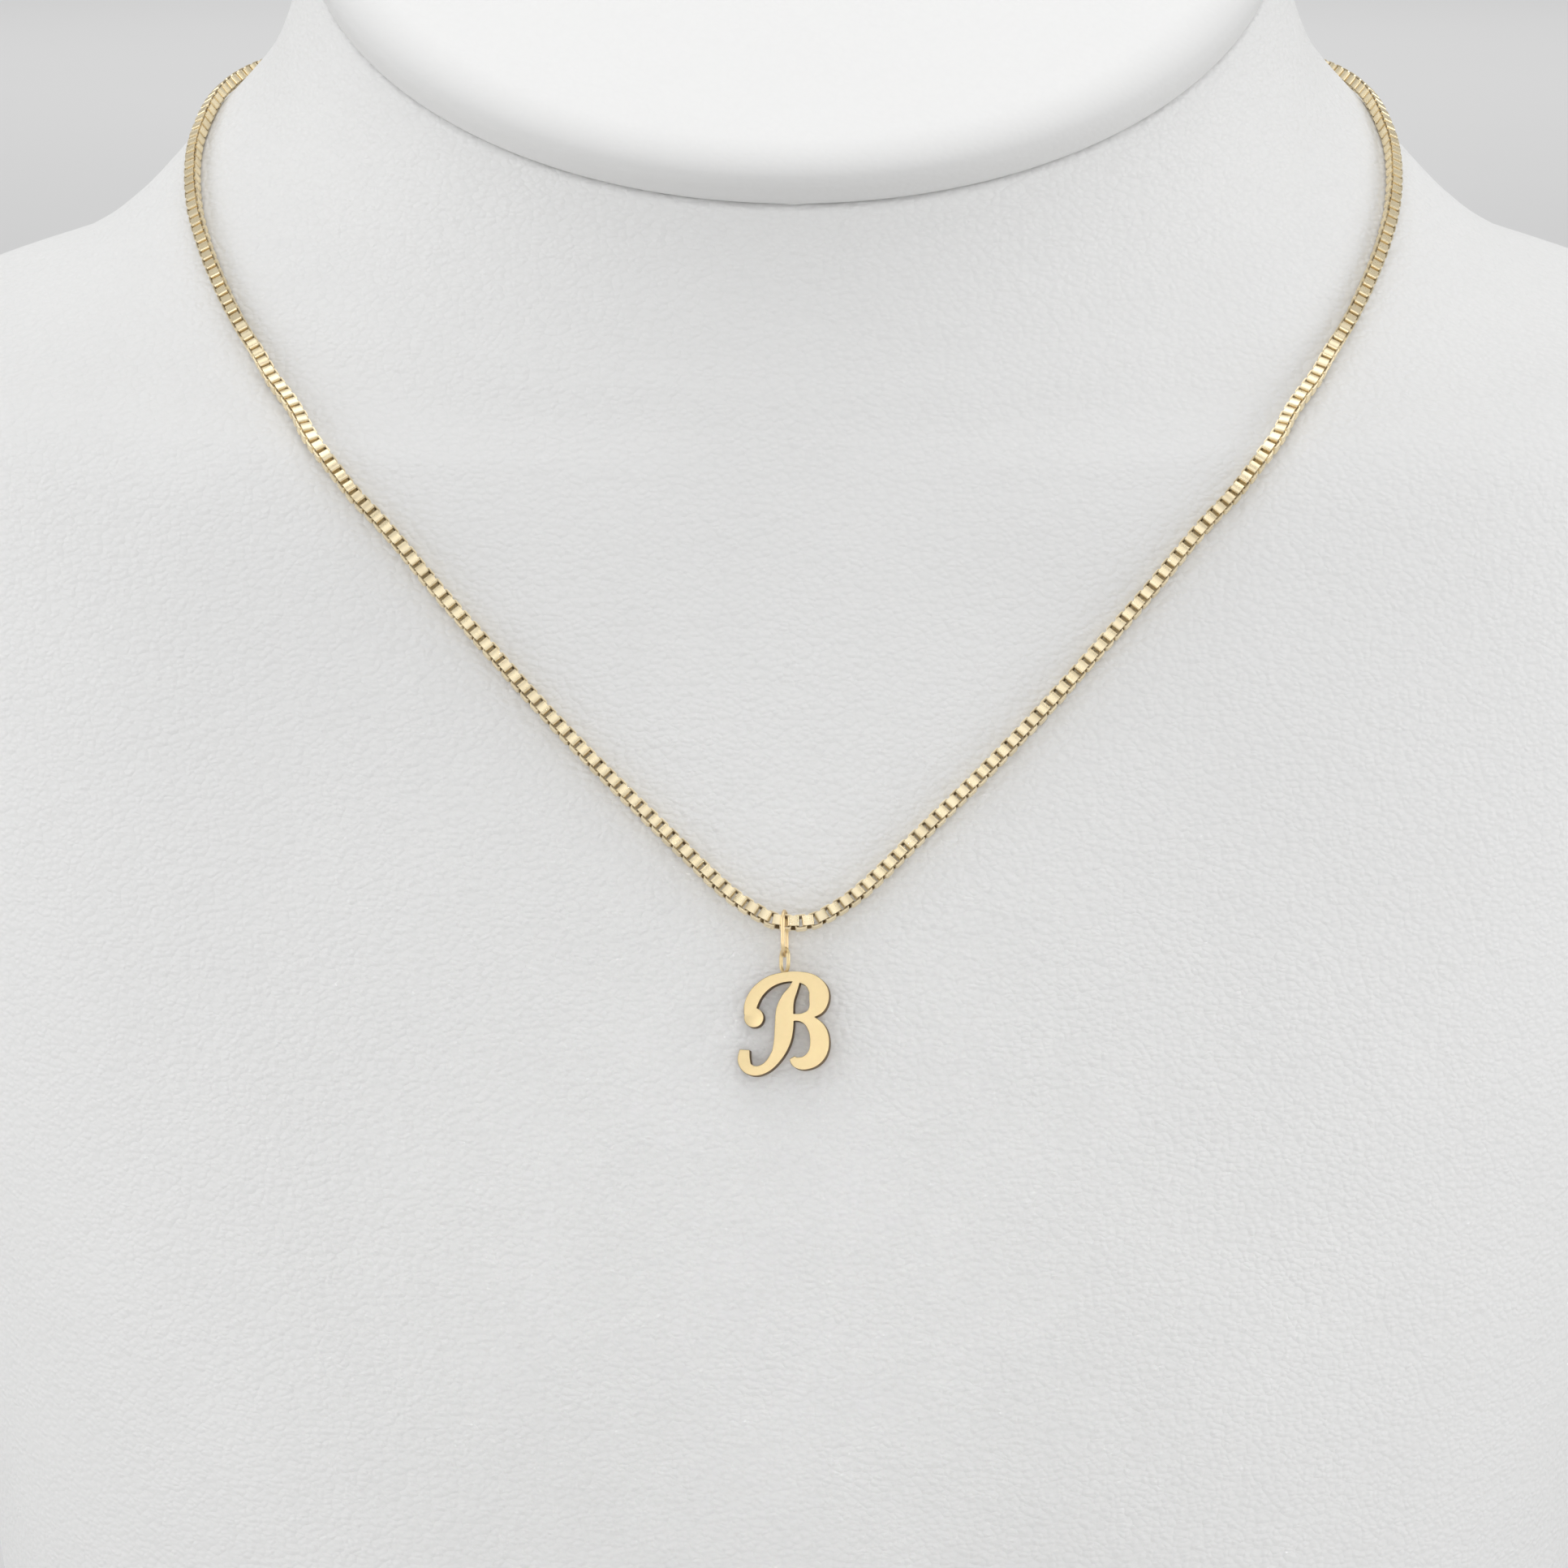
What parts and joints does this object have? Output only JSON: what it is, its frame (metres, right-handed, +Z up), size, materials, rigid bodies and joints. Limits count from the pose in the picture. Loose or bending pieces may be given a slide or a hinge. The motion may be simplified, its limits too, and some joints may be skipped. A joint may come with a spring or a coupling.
{
  "type": "initial pendant necklace on a neck bust",
  "caption": "Gold script initial pendant hanging by a jump ring from a fine box chain, which lies round a white leatherette neck bust with a slanted padded cap.",
  "frame": {"origin": "middle of the bust's footprint, on the surface that it stands on", "axes": "+Z up, the bust faces -Y, +X to the right as seen from the front"},
  "size_m": [0.2252, 0.133, 0.2459],
  "materials": {
    "leatherette": "matt white leatherette with a fine pebbled grain",
    "cap_leatherette": "smooth matt white leatherette over padding",
    "chain_gold": "polished yellow gold",
    "ring_gold": "polished yellow gold wire",
    "letter_gold": "satin yellow gold"
  },
  "bodies": {
    "root": {"bust_form": "leatherette", "neck_cap": "cap_leatherette", "chain": "chain_gold", "bail_ring": "ring_gold", "initial_letter": "letter_gold", "clasp": "ring_gold"}
  },
  "joints": []
}
